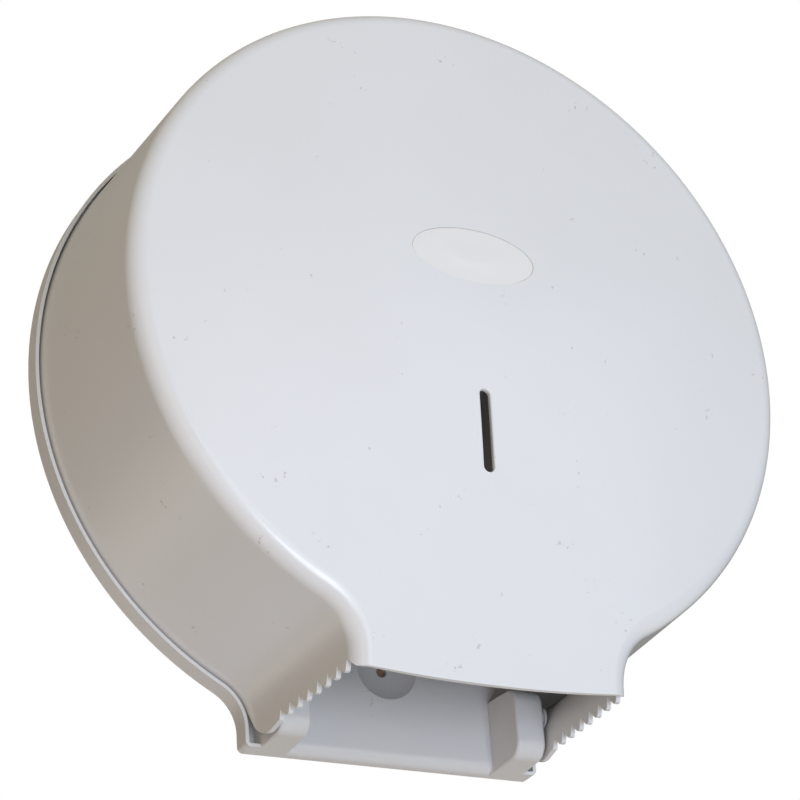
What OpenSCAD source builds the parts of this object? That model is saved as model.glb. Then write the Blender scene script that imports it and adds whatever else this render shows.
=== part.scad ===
// Jumbo toilet roll dispenser for a wall.
// X runs to the right, Y into the wall and Z up. The origin lies on the wall
// plane, on the axis of the roll hub. All sizes are in millimetres.

/* [Outline] */
// Radius of the round part of the outline, over the rim of the back plate
disc_r = 165; // [160:1:170]
// Half the width of the neck, over the rim of the back plate
neck_half = 71; // [69:1:73]
// Depth of the neck's lower edge below the roll axis
neck_drop = 170; // [169:0.5:172]
// Radius of the hollow curve that joins the disc to the neck
neck_blend = 21; // [19:1:24]
// Radius of the rim's two lower corners
foot_r = 2.5; // [2:0.5:5]

/* [Back plate] */
// How far the rim stands off the wall
rim_depth = 9.7; // [9:0.1:10.5]
// Thickness of the rim's lip
rim_wall = 1.6; // [1.2:0.1:1.8]
// Thickness of the tray floor and of every moulded skin of the back plate
skin = 2.4; // [2:0.1:2.6]
// Distance of the raised panel's face from the wall
panel_depth = 7.3; // [6.5:0.1:8]
// Width of the ring between the outline and the raised panel
panel_inset = 7; // [6:0.5:7]
// Radius of a dished screw seat at the panel's face
dish_r = 14.8; // [12:0.2:16]
// Radius of the wall screw holes
wall_hole_r = 2.5; // [2:0.1:3]
// Radius of the circle on which the three wall screws lie
wall_circle_r = 125.5; // [120:0.5:128]

/* [Hinge cheeks] */
// Inner face of each cheek, from the middle plane
cheek_in = 50; // [46:1:52]
// Outer face of each cheek, from the middle plane
cheek_out = 64; // [63:0.5:64]
// How far the cheeks stand off the wall
cheek_depth = 32.7; // [32:0.1:34]
// Height of the cheeks' top face
cheek_top = -137; // [-140:1:-134]
// Radius of a cheek's two front corners, seen from the side
cheek_round = 8; // [6:0.5:9]
// Radius of a cheek's two upright front edges
cheek_edge = 3.2; // [2:0.2:4]
// Distance of the hinge axis from the wall
hinge_depth = 27.5; // [26.5:0.5:28]
// Height of the hinge axis
hinge_z = -150; // [-152:0.5:-149]
// Radius of the hinge pegs
peg_r = 3.5; // [3:0.1:4]

/* [Cover] */
// Depth of the front face at disc_r
face_depth = 107.9; // [105:0.1:110]
// Extra depth of the domed front at its middle
dome = 9.7; // [8:0.1:11]
// Radius of the rounded front edge
edge_r = 8.6; // [7:0.1:10]
// Wall thickness
wall = 2.2; // [2:0.1:2.4]
// Distance of the cover's rear edge from the wall
rear_gap = 3.5; // [3.2:0.1:4]
// Inset of the cover from the outline at the wall plane, to which its sides are drawn out
rear_inset = 2.2; // [2.1:0.1:2.5]
// Inset of the cover from the outline where the front edge starts to round
front_inset = 6.7; // [6:0.1:8]

/* [Tear edges] */
// Number of notches along each side
notches = 8; // [4:1:8]
// Distance from one notch to the next
pitch = 8.6; // [8:0.1:8.6]
// Distance of the foremost notch from the wall
first_notch = 98.8; // [97:0.1:99]
// Height of the notch tops
notch_top = -162.9; // [-163.5:0.1:-162]
// Depth of a notch
notch_depth = 4.5; // [4:0.1:5]

/* [Front] */
// Height of the upper end of the level slot
slot_top = -38.4; // [-45:0.5:-35]
// Length of the level slot
slot_len = 38.4; // [30:0.5:42]
// Width of the level slot
slot_w = 4.8; // [4.6:0.1:6]
// Height of the middle of the badge
badge_z = 27.3; // [20:0.5:40]
// Half the width of the badge
badge_a = 30; // [24:0.5:32]
// Half the height of the badge
badge_b = 13.4; // [11:0.1:15]

/* [Roll hub] */
// Radius of the spindle post
post_r = 9; // [8:0.5:10]
// Length of the spindle post from the panel
post_len = 82; // [76:1:84]
// Radius over the fins of the hub
hub_r = 26; // [24:0.5:28]
// Wall thickness of the sleeve that carries the roll's core
sleeve_wall = 2; // [1.6:0.1:2.4]

/* [Lock] */
// Distance of the lock's axis from the wall
lock_depth = 38; // [37:0.5:39]
// Radius of the lock's turning plug
plug_r = 5.9; // [5.5:0.1:6]
// Length of the latch arm from the lock's axis
cam_len = 17; // [16:0.5:18]

/* [Hidden] */
$fn = 48;

// Colours
white = "#eef0f2";
shade = "#e2e5e8";
grey = "#b9bec4";
steel = "#c9ccd0";
ivory = "#e8e0cc";

// Small gap by which a cut runs past the face that it opens
past = 1;
// Radial clearance of a shaft in its bore, and the looser one of a slip-on fit
running = 0.05;
slip = 0.2;
// Degrees of one step along the round outline, and steps of its short arcs
step = 5;
arc_n = 6;

// Centre of the hollow curve between disc and neck, and the angle to it
blend_x = neck_half + neck_blend;
blend_z = -sqrt(pow(disc_r + neck_blend, 2) - pow(blend_x, 2));
blend_a = atan2(-blend_z, blend_x);

// The panel's back is hollow, and its inner face is one skin behind its front
hollow_depth = panel_depth - skin;
panel_edge_r = 5.5;
rib_w = 2;
rib_pitch = 30;
// Each dish is a shallow ball whose floor is one thin skin off the wall
dish_floor = 1.8;
dish_sag = panel_depth - dish_floor;
dish_ball_r = (dish_r * dish_r + dish_sag * dish_sag) / (2 * dish_sag);
ball_fn = 96;

// Hinge pegs: how deep they reach into the cheeks, and the flange on the cover's inside
peg_len = 10;
peg_end_gap = 0.5;
stud_r = 5;
stud_seat = 65.9;
stud_t = 1;

// Angle at which the rounded front edge runs into the dome, and the steps of both
edge_slope = atan(2 * dome / disc_r);
edge_end = 90 - edge_slope;
edge_steps = 5;
dome_steps = 6;
// The cover is cut from a longer form, so its lower end stays open
outer_drop = neck_drop + 8;
inner_drop = neck_drop + 20;
// Anything this far down is below the whole part
far_down = neck_drop + 40;

// Rear lower corner of the cover's sides. Up to corner_up above the hinge axis it stays clear of
// the raised panel, so that the cover can swing
corner_r = 19;
corner_up = 40;
corner_rise = 8;
corner_n = 8;
tooth_z = notch_top - notch_depth;
// A notch: its round top, the lean and the nose of the tooth behind it, and how far its slanted
// side runs forward at the cover's edge and at the end of the cut
notch_r = 0.6;
nose_lean = 0.9;
nose_r = 1.2;
nose_y = notch_r + nose_lean + nose_r;
flank_run = [4.6, 4.8];
// The front's lower edge is bowed, lowest in the middle
face_low = -170.6;
face_low_side = -166.5;
face_low_n = 10;
face_rear = first_notch + 5;

slot_n = 8;
badge_t = 0.6;
badge_floor = 116.3;
badge_fit = 0.15;
badge_step = 10;

// Screws that hold the spindle's flange to the panel
pilot_r = 1.5;
screw_gap = 0.3;
flange_r = 33;
flange_t = 3;
flange_screw_r = 25;
flange_head_r = 3.2;
flange_head_t = 2;
flange_reach = 8;

// Hub on the spindle, from its rear face to its front face
spindle_end = panel_depth + post_len;
hub_back = 12.5;
hub_front = 88;
bush_wall = 2;
bush_r = post_r + bush_wall;
bush_short = 1;
drum_r = 20;
drum_web = 14;
hub_flange_r = 44;
hub_flange_t = 2.5;
fin_t = 2.5;
fin_short = 6;
sleeve_back = hub_back + hub_flange_t;
sleeve_lip = 3;
sleeve_lip_t = 2.5;
washer_r = post_r + 5;
cap_r = 17;
cap_t = 3.5;
cap_boss_r = 6;
cap_boss_t = 1;
cap_seat = 2;
cap_screw_r = 2;
cap_screw_len = 18;
cap_screw_bore = 20;
cap_head_r = 3.7;
cap_head_t = 2.5;
recess_len = 4.8;
recess_w = 1;
recess_t = 1.5;

// Lock, set into a flat seat in the cover's top
lock_top = 161.2;
lock_seat = 159.6;
lock_flange_r = 11;
lock_body_r = 7.9;
lock_pad_r = 14;
lock_pad_z = 156;
lock_pad_top = 160;
lock_nut_r = 12;
lock_nut_t = 4;
plug_sink = 0.4;
key_pin_r = 1;
key_pin_x = 2.6;
key_pin_deep = 4;
cam_top = 144;
cam_t = 2.5;
cam_w = 7;
cam_back_r = 4.5;
square_w = 6;
lock_washer_t = 0.8;
lock_washer_rim = 0.6;
cam_screw_r = 1.6;
cam_screw_up = 6;
cam_head_r = 4.2;
cam_head_t = 1.8;

// Bracket that the latch arm hooks behind
strike_t = 2.2;
strike_x = [8.6, 21];
strike_z = [137, 147];
strike_points = [[14.8, 118], [14.8, 129]];
strike_foot = 112;
strike_depth = lock_depth + cam_w / 2 + 0.6;
strike_boss_r = 5;
strike_head_r = 3;
strike_head_t = 2;
strike_reach = 4.5;

// Points along an arc, from angle a0 to angle a1 in n steps
function arc(x, z, r, a0, a1, n) =
    [for (i = [0:n]) let (a = a0 + (a1 - a0) * i / n) [x + r * cos(a), z + r * sin(a)]];

// List without its first or last point, where two arcs meet
function tail(list) = [for (i = [1:len(list) - 1]) list[i]];
function head(list) = [for (i = [0:len(list) - 2]) list[i]];

// Parts of the outline in X and Z, inset by d from the rim: the disc and the two hollow curves
function disc_arc(d) =
    arc(0, 0, disc_r - d, -blend_a, 180 + blend_a, round((180 + 2 * blend_a) / step));
function left_blend(d) = tail(arc(-blend_x, blend_z, neck_blend + d, blend_a, 0, arc_n));
function right_blend(d) = head(arc(blend_x, blend_z, neck_blend + d, 180, 180 - blend_a, arc_n));

// Keyhole outline, inset by d from the rim, with the neck cut off square at depth drop
function outline(d, drop) = concat(
    disc_arc(d),
    left_blend(d),
    [for (i = [0:8]) [(neck_half - d) * (i / 4 - 1), -drop]],
    right_blend(d));

// Keyhole outline of the rim, with its two lower corners rounded
function rim_outline(d) =
    let (x = neck_half - foot_r, z = foot_r - neck_drop)
    concat(
        disc_arc(d),
        left_blend(d),
        arc(-x, z, foot_r - d, 180, 270, arc_n),
        arc(x, z, foot_r - d, 270, 360, arc_n),
        right_blend(d));

// Depth of the domed front at a distance rho from the roll axis
function front(rho) = face_depth + dome * (1 - pow(rho / disc_r, 2));

// Rings of a cover skin that lies t inside the outer skin: wall, rounded edge and dome
function wall_ring(d, y, drop) = [for (p = outline(d, drop)) [p[0], y, p[1]]];
function edge_ring(a, t, drop) =
    let (
        r = edge_r - t,
        rest = outline(front_inset + t + r * (1 - cos(edge_end)), drop),
        here = outline(front_inset + t + r * (1 - cos(a)), drop))
    [for (i = [0:len(here) - 1])
        [here[i][0], -(front(norm(rest[i])) - t) + r * (sin(edge_end) - sin(a)), here[i][1]]];
function dome_ring(s, t, drop) =
    let (rest = outline(front_inset + t + (edge_r - t) * (1 - cos(edge_end)), drop))
    [for (p = rest) [s * p[0], -(front(s * norm(p)) - t), s * p[1]]];
function skin_rings(t, drop) = concat(
    [wall_ring(rear_inset + t, 0, drop)],
    [for (i = [0:edge_steps]) edge_ring(edge_end * i / edge_steps, t, drop)],
    [for (i = [1:dome_steps]) dome_ring(1 - i / (dome_steps + 1), t, drop)]);

// Where the wall screws and the spindle's screws go
function wall_points() = [for (a = [60:120:300]) wall_circle_r * [sin(a), cos(a)]];
function flange_points() = [for (a = [45:90:315]) flange_screw_r * [sin(a), cos(a)]];

// Closed form through rings of equal length, with a point at each end
module loft(rings, first_tip, last_tip) {
    n = len(rings[0]);
    m = len(rings);
    points = concat([for (r = rings) each r], [first_tip, last_tip]);
    first_fan = [for (i = [0:n - 1]) [i, (i + 1) % n, m * n]];
    last_fan = [for (i = [0:n - 1]) [(m - 1) * n + (i + 1) % n, (m - 1) * n + i, m * n + 1]];
    sides = [for (k = [0:m - 2]) for (i = [0:n - 1]) let (a = k * n + i, b = k * n + (i + 1) % n)
        each [[b, a, b + n], [a, a + n, b + n]]];
    polyhedron(points, concat(first_fan, sides, last_fan));
}

// A shape drawn in X and Z, from distance a to distance b off the wall
module off_wall(a, b) {
    translate([0, -a, 0])
    rotate([90, 0, 0])
    linear_extrude(b - a)
    children();
}

// A shape drawn in Y and Z, from a to b along X
module across(a, b) {
    translate([a, 0, 0])
    rotate([90, 0, 90])
    linear_extrude(b - a)
    children();
}

// A round rod that stands off the wall at p, which is [x, z]
module rod(p, r, a, b) {
    translate([p[0], 0, p[1]])
    off_wall(a, b)
    circle(r);
}

// A round rod off the wall on the roll axis
module hub_rod(r, a, b) {
    rod([0, 0], r, a, b);
}

// A round rod along X on the hinge axis
module hinge_rod(r, a, b) {
    translate([0, -hinge_depth, hinge_z])
    across(a, b)
    circle(r);
}

// A round rod along Z on the lock's axis
module lock_rod(r, a, b) {
    translate([0, -lock_depth, a])
    cylinder(r = r, h = b - a);
}

// The same thing on the left and on the right
module both_sides() {
    children();
    mirror([1, 0, 0]) children();
}

// Side view of a hinge cheek, drawn t inside its outer faces
module cheek_side(t, rear) {
    r = cheek_round - t;
    low = -neck_drop + t;
    front_y = -cheek_depth + t;
    polygon(concat(
        [[rear, low]],
        arc(front_y + r, low + r, r, 270, 180, arc_n),
        arc(front_y + r, cheek_top - t - r, r, 180, 90, arc_n),
        [[rear, cheek_top - t]]));
}

// Top view of a hinge cheek, with its two upright front edges rounded
module cheek_plan(t) {
    r = cheek_edge;
    polygon(concat(
        [[cheek_in + t, past]],
        arc(cheek_in + t + r, -cheek_depth + t + r, r, 180, 270, arc_n),
        arc(cheek_out - t - r, -cheek_depth + t + r, r, 270, 360, arc_n),
        [[cheek_out - t, past]]));
}

module cheek_form(t, rear) {
    intersection() {
        across(cheek_in, cheek_out) cheek_side(t, rear);
        translate([0, 0, -neck_drop - past])
        linear_extrude(cheek_top + neck_drop + 2 * past)
        cheek_plan(t);
    }
}

// Room inside a cheek, round the tube that holds the hinge peg, and the peg's bore
module cheek_hollow() {
    difference() {
        cheek_form(skin, past);
        hinge_rod(peg_r + skin, cheek_in, cheek_out);
    }
    hinge_rod(peg_r + running, cheek_out - peg_len - peg_end_gap, cheek_out + past);
}

// Room behind the panel, less the ribs and bosses that stay in it
module panel_hollow() {
    low = -2 * past;
    high = hollow_depth + past;
    difference() {
        off_wall(-past, hollow_depth) polygon(outline(panel_inset + skin, neck_drop - skin));
        for (a = [0:rib_pitch:360 - rib_pitch])
            rotate([0, a, 0])
            translate([flange_r - rib_w, -high, -rib_w / 2])
            cube([disc_r, high - low, rib_w]);
        for (p = wall_points()) rod(p, dish_r + skin, low, high);
        for (p = strike_points) rod(p, strike_boss_r, low, high);
        hub_rod(flange_r, low, high);
    }
}

// Outside of the panel's lower edge, which is rounded back to the wall
module panel_edge_cut() {
    low = -neck_drop;
    front_y = -panel_depth;
    across(-cheek_in, cheek_in)
    polygon(concat(
        [[front_y - past, low - past], [front_y - past, low + panel_edge_r]],
        arc(front_y + panel_edge_r, low + panel_edge_r, panel_edge_r, 180, 270, arc_n),
        [[front_y + panel_edge_r, low - past]]));
}

module back_plate() {
    color(shade)
    difference() {
        union() {
            difference() {
                off_wall(0, rim_depth) polygon(rim_outline(0));
                off_wall(skin, rim_depth + past) polygon(rim_outline(rim_wall));
            }
            off_wall(skin / 2, panel_depth) polygon(outline(panel_inset, neck_drop));
            both_sides() cheek_form(0, 0);
        }
        // The lip is left out between the cheeks
        translate([-cheek_in, -rim_depth - past, -neck_drop - past])
        cube([2 * cheek_in, rim_depth - panel_depth + past, 2 * past + rim_wall]);
        panel_edge_cut();
        panel_hollow();
        both_sides() cheek_hollow();
        for (p = wall_points()) {
            translate([p[0], -dish_floor - dish_ball_r, p[1]]) sphere(dish_ball_r, $fn = ball_fn);
            rod(p, wall_hole_r, -past, panel_depth);
        }
        for (p = concat(flange_points(), strike_points)) rod(p, pilot_r, past, panel_depth + past);
    }
}

module spindle() {
    flange_front = panel_depth + flange_t;
    color(grey)
    difference() {
        union() {
            hub_rod(flange_r, panel_depth, flange_front);
            hub_rod(post_r, panel_depth + flange_t / 2, spindle_end);
        }
        for (p = flange_points()) {
            rod(p, pilot_r + screw_gap, panel_depth - past, flange_front + past);
            rod(p, flange_head_r + slip, flange_front - flange_head_t, flange_front + past);
        }
        hub_rod(cap_screw_r, spindle_end - cap_screw_bore, spindle_end + past);
    }
}

module spindle_screws() {
    flange_front = panel_depth + flange_t;
    color(steel)
    for (p = flange_points()) {
        rod(p, pilot_r, flange_front - flange_reach, flange_front - flange_head_t / 2);
        rod(p, flange_head_r, flange_front - flange_head_t, flange_front);
    }
}

// Bearing bush, pressed into the hub
module hub_bush() {
    color(ivory)
    difference() {
        hub_rod(bush_r, hub_back + bush_short, hub_front - bush_short);
        hub_rod(post_r + running, hub_back, hub_front);
    }
}

// Drum with fins, and a rear flange that keeps the roll off the panel
module core_hub() {
    color(white)
    difference() {
        union() {
            hub_rod(drum_r, hub_back, hub_front);
            hub_rod(hub_flange_r, hub_back, hub_back + hub_flange_t);
            for (a = [0:60:300])
                rotate([0, a, 0])
                translate([drum_r - fin_t, -hub_front + fin_short, -fin_t / 2])
                cube([hub_r - drum_r + fin_t, hub_front - hub_back - fin_short - past, fin_t]);
        }
        hub_rod(bush_r, hub_back - past, hub_front + past);
        // Ring-shaped pocket, open at the front
        difference() {
            hub_rod(drum_r - skin, hub_back + drum_web, hub_front + past);
            hub_rod(bush_r + skin, hub_back, hub_front + 2 * past);
        }
    }
}

// Slip-on sleeve with a lip, which fills the wide core of a jumbo roll
module core_sleeve() {
    color(white)
    difference() {
        union() {
            hub_rod(hub_r + slip + sleeve_wall, sleeve_back, hub_front - fin_short);
            hub_rod(hub_r + sleeve_wall + sleeve_lip, sleeve_back, sleeve_back + sleeve_lip_t);
        }
        hub_rod(hub_r + slip, sleeve_back - past, hub_front);
    }
}

module hub_washer() {
    color(steel)
    difference() {
        hub_rod(washer_r, panel_depth + flange_t, hub_back - 0.3);
        hub_rod(post_r + slip, panel_depth, hub_back + past);
    }
}

// Disc on the spindle's end that keeps the hub on
module hub_cap() {
    color(grey)
    difference() {
        union() {
            hub_rod(cap_r, spindle_end, spindle_end + cap_t);
            hub_rod(cap_boss_r, spindle_end, spindle_end + cap_t + cap_boss_t);
        }
        hub_rod(cap_screw_r + slip, spindle_end - past, spindle_end + cap_t);
        hub_rod(cap_head_r + slip, spindle_end + cap_seat, spindle_end + 2 * cap_t);
    }
}

module hub_cap_screw() {
    head_front = spindle_end + cap_seat + cap_head_t;
    color(steel)
    difference() {
        union() {
            hub_rod(cap_screw_r, spindle_end - cap_screw_len, spindle_end + cap_seat + past);
            hub_rod(cap_head_r, spindle_end + cap_seat, head_front);
        }
        for (a = [0, 90])
            rotate([0, a, 0])
            translate([-recess_len / 2, -head_front - past, -recess_w / 2])
            cube([recess_len, recess_t + past, recess_w]);
    }
}

// Hooked bracket: a foot on the panel, a side arm and the leaf that the latch arm catches
module strike_bracket() {
    wide = strike_x[1] - strike_x[0];
    tall = strike_z[1] - strike_z[0];
    leaf_front = strike_depth + strike_t;
    color(steel)
    difference() {
        union() {
            translate([strike_x[0], -panel_depth - strike_t, strike_foot])
            cube([wide, strike_t, strike_z[1] - strike_foot]);
            translate([strike_x[1] - strike_t, -leaf_front, strike_z[0]])
            cube([strike_t, leaf_front - panel_depth, tall]);
            translate([strike_x[0], -leaf_front, strike_z[0]])
            cube([wide, strike_t, tall]);
        }
        for (p = strike_points) rod(p, pilot_r + screw_gap, panel_depth - past, panel_depth + 2 * strike_t);
    }
}

module strike_screws() {
    foot_front = panel_depth + strike_t;
    color(steel)
    for (p = strike_points) {
        rod(p, pilot_r, panel_depth - strike_reach, foot_front + past);
        rod(p, strike_head_r, foot_front, foot_front + strike_head_t);
    }
}

// Everything below the cover's serrated side edges
module side_cut() {
    corner_top = hinge_z + corner_up;
    front_y = -face_rear - past;
    across(-disc_r, disc_r)
    union() {
        polygon(concat(
            [[past, -far_down], [past, corner_top], [-rear_gap, corner_top]],
            arc(-hinge_depth, hinge_z, corner_r, 0, -90, corner_n),
            [[-hinge_depth - corner_rise, tooth_z], [front_y, tooth_z], [front_y, -far_down]]));
        for (i = [0:notches - 1])
            translate([-first_notch + i * pitch, notch_top])
            notch();
    }
}

// One notch: a round top, a slanted side in front, and a steep side behind that ends in a rounded nose
module notch() {
    low = -notch_depth - past;
    polygon(concat(
        arc(0, -notch_r, notch_r, 0, 180, arc_n),
        [[-flank_run[0], -notch_depth], [-flank_run[1], low], [nose_y, low]],
        arc(nose_y, nose_r - notch_depth, nose_r, 270, 180, arc_n)));
}

// Everything below the bowed lower edge of the cover's front
module face_cut() {
    bow = face_low_side - face_low;
    off_wall(face_rear, face_depth + dome + past)
    polygon(concat(
        [for (i = [0:face_low_n]) let (u = 2 * i / face_low_n - 1)
            [u * neck_half, face_low + bow * u * u]],
        [[neck_half + past, -far_down], [-neck_half - past, -far_down]]));
}

module level_slot() {
    r = slot_w / 2;
    off_wall(face_depth - edge_r, face_depth + 2 * dome)
    polygon(concat(
        arc(0, slot_top - r, r, 0, 180, slot_n),
        arc(0, slot_top - slot_len + r, r, 180, 360, slot_n)));
}

module badge_shape(gap) {
    translate([0, badge_z])
    polygon([for (a = [0:badge_step:360 - badge_step])
        [(badge_a - gap) * cos(a), (badge_b - gap) * sin(a)]]);
}

// Outer form of the cover, cut off square at its rear edge
module cover_form() {
    difference() {
        loft(skin_rings(0, outer_drop), [0, 0, 0], [0, -front(0), 0]);
        off_wall(-past, rear_gap) square(3 * disc_r, center = true);
    }
}

module cover() {
    color(white)
    difference() {
        union() {
            difference() {
                cover_form();
                loft(skin_rings(wall, inner_drop), [0, 0, 0], [0, -front(0) + wall, 0]);
            }
            lock_rod(lock_pad_r, lock_pad_z, lock_pad_top);
        }
        side_cut();
        face_cut();
        level_slot();
        off_wall(badge_floor, face_depth + 2 * dome) badge_shape(0);
        both_sides() hinge_rod(stud_r + slip, stud_seat - 2 * stud_t, stud_seat);
        lock_rod(lock_flange_r + slip, lock_seat, disc_r);
        lock_rod(lock_body_r + running, lock_pad_z - past, disc_r);
    }
}

// Bare oval plate, let into the front
module badge_plate() {
    color(white)
    off_wall(badge_floor, badge_floor + badge_t) badge_shape(badge_fit);
}

// Flanged peg fixed inside the cover's side, which turns in the cheek's bore
module pivot_stud() {
    hinge_rod(stud_r, stud_seat - stud_t, stud_seat);
    hinge_rod(peg_r, cheek_out - peg_len, stud_seat - stud_t / 2);
}

module pivot_stud_left() {
    color(grey) mirror([1, 0, 0]) pivot_stud();
}

module pivot_stud_right() {
    color(grey) pivot_stud();
}

module lock_housing() {
    color(grey)
    difference() {
        union() {
            lock_rod(lock_flange_r, lock_seat, lock_top);
            lock_rod(lock_body_r, cam_top + lock_nut_t, lock_seat + past);
        }
        lock_rod(plug_r + running, cam_top, lock_top + past);
    }
}

// Six-sided nut that clamps the housing in the cover's top
module lock_nut() {
    color(grey)
    difference() {
        translate([0, -lock_depth, lock_pad_z - lock_nut_t])
        cylinder(r = lock_nut_r, h = lock_nut_t, $fn = 6);
        lock_rod(lock_body_r, lock_pad_z - lock_nut_t - past, lock_pad_z + past);
    }
}

// Square shank, from a to b along the lock's axis
module lock_square(a, b) {
    translate([-square_w / 2, -lock_depth - square_w / 2, a])
    cube([square_w, square_w, b - a]);
}

// Turning plug with a two-pronged key socket in its head and a square shank for the cam
module lock_plug() {
    color(steel)
    difference() {
        union() {
            lock_rod(plug_r, cam_top + lock_washer_t, lock_top - plug_sink);
            lock_square(cam_top - cam_t, cam_top + 2 * lock_washer_t);
        }
        for (x = [-key_pin_x, key_pin_x])
            translate([x, 0, 0])
            lock_rod(key_pin_r, lock_top - key_pin_deep, lock_top + past);
        lock_rod(cam_screw_r, cam_top - cam_t - past, cam_top + cam_screw_up + past);
    }
}

module lock_washer() {
    color(steel)
    difference() {
        lock_rod(plug_r + lock_washer_rim, cam_top, cam_top + lock_washer_t);
        lock_rod(square_w * 0.75, cam_top - past, cam_top + lock_washer_t + past);
    }
}

// Latch arm that points to the wall when unlocked
module lock_cam() {
    color(steel)
    difference() {
        translate([0, -lock_depth, cam_top - cam_t])
        linear_extrude(cam_t)
        polygon(concat(
            arc(0, 0, cam_back_r, 170, 370, 2 * arc_n),
            arc(0, cam_len - cam_w / 2, cam_w / 2, 0, 180, arc_n)));
        lock_square(cam_top - cam_t - past, cam_top + past);
    }
}

module lock_cam_screw() {
    color(steel)
    union() {
        lock_rod(cam_head_r, cam_top - cam_t - cam_head_t, cam_top - cam_t);
        lock_rod(cam_screw_r, cam_top - cam_t - cam_head_t / 2, cam_top + cam_screw_up);
    }
}

back_plate();
spindle();
spindle_screws();
hub_bush();
core_hub();
core_sleeve();
hub_washer();
hub_cap();
hub_cap_screw();
strike_bracket();
strike_screws();
cover();
badge_plate();
pivot_stud_left();
pivot_stud_right();
lock_housing();
lock_nut();
lock_plug();
lock_washer();
lock_cam();
lock_cam_screw();
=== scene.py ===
# %% [markdown]
# # A jumbo toilet roll dispenser for a wall
# The dispenser is a white moulded plastic case, seen here from below and from its left. This notebook builds
# its looks round the imported CAD model: each piece is modelled in millimetres with mesh operators, brought to
# metres, and tied to the CAD body that it moves with. The first cell loads the frame.

# %% Load the fixed frame
import math

import bmesh
import bpy
from mathutils import Matrix, Vector


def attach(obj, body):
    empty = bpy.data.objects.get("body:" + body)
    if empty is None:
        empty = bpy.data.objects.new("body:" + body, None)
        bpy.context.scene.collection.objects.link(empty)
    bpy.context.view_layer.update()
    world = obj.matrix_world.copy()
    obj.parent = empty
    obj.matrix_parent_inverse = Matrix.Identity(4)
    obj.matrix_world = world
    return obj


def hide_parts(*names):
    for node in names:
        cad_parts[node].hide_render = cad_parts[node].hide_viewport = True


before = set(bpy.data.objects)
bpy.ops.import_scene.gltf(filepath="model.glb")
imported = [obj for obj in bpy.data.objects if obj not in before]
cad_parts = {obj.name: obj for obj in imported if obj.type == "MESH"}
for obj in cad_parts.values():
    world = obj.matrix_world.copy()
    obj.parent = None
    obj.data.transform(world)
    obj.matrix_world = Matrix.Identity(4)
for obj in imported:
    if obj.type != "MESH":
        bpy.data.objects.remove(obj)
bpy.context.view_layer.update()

# %% [markdown]
# ## The camera
# The camera's place was found by fitting the outline, the slot, the badge and the teeth to the photograph.
# It hangs below the dispenser, a little over a metre away, and looks up at it from the left. Three angles
# turn it the way a photographer would: round the object, then up or down, then a slight roll.

# %% Camera
VIEW_AZ, VIEW_EL, VIEW_ROLL = (math.radians(a) for a in (-27.77, -26.5, -4.0))
VIEW_DIST = 1.24603
VIEW_LENS = 125.383
SENSOR_WIDTH = 36
LOOK_AT = Vector((-0.01145, -0.060, -0.01834))

flat = math.cos(VIEW_EL)
back = Vector((math.sin(VIEW_AZ) * flat, -math.cos(VIEW_AZ) * flat, math.sin(VIEW_EL)))
level = back.cross(Vector((0, 0, -1))).normalized()
upright = back.cross(level)
right = math.cos(VIEW_ROLL) * level + math.sin(VIEW_ROLL) * upright
up = -math.sin(VIEW_ROLL) * level + math.cos(VIEW_ROLL) * upright
turn = Matrix((right, up, back)).transposed().to_4x4()

camera = bpy.data.objects.new("camera", bpy.data.cameras.new("camera"))
camera.data.lens = VIEW_LENS
camera.data.sensor_width = SENSOR_WIDTH
camera.matrix_world = Matrix.Translation(LOOK_AT + back * VIEW_DIST) @ turn
bpy.context.scene.collection.objects.link(camera)
bpy.context.scene.camera = camera
bpy.context.scene.view_settings.view_transform = "Standard"
print("camera at", [round(v, 3) for v in camera.matrix_world.translation])

# %% [markdown]
# ## Drawing and extruding
# Almost every piece here is a flat outline that was given depth, as a moulded part is. Lists of points would
# hide that, so a pen draws the outline instead, from one vertex: a straight move extrudes it, and a round
# move spins it about a centre. The last point is welded to the first, the loop is filled, and the face is
# extruded to a closed bar.

# %% Pen
WELD = 1e-4
WHOLE_TURN = 360


def verts_of(made):
    """The vertices among what an operator gives back."""
    return [g for g in made if isinstance(g, bmesh.types.BMVert)]


def pen(bm, start, moves):
    """Draws a line in X and Z. A move is a point (x, z) or a turn (centre x, centre z, degrees, steps)."""
    tip = bm.verts.new((start[0], 0, start[1]))
    for move in moves:
        if len(move) == 2:
            tip = bmesh.ops.extrude_vert_indiv(bm, verts=[tip])["verts"][0]
            tip.co = (move[0], 0, move[1])
        else:
            x, z, degrees, steps = move
            made = bmesh.ops.spin(
                bm, geom=[tip], cent=(x, 0, z), axis=(0, 1, 0), angle=-math.radians(degrees), steps=steps,
                use_merge=degrees == WHOLE_TURN)
            tip = verts_of(made["geom_last"])[0]
    bmesh.ops.remove_doubles(bm, verts=bm.verts, dist=WELD)


# %% Bar
# How a bar that is drawn along Y is turned to lie along each axis
TURN_TO = {
    "X": Matrix.Rotation(math.radians(90), 3, "Z"),
    "Y": Matrix.Identity(3),
    "Z": Matrix.Rotation(math.radians(-90), 3, "X"),
}


def to_object(bm, name):
    """Turns a bmesh, still in millimetres, into an object."""
    mesh = bpy.data.meshes.new(name)
    bm.to_mesh(mesh)
    bm.free()
    piece = bpy.data.objects.new(name, mesh)
    bpy.context.scene.collection.objects.link(piece)
    return piece


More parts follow.
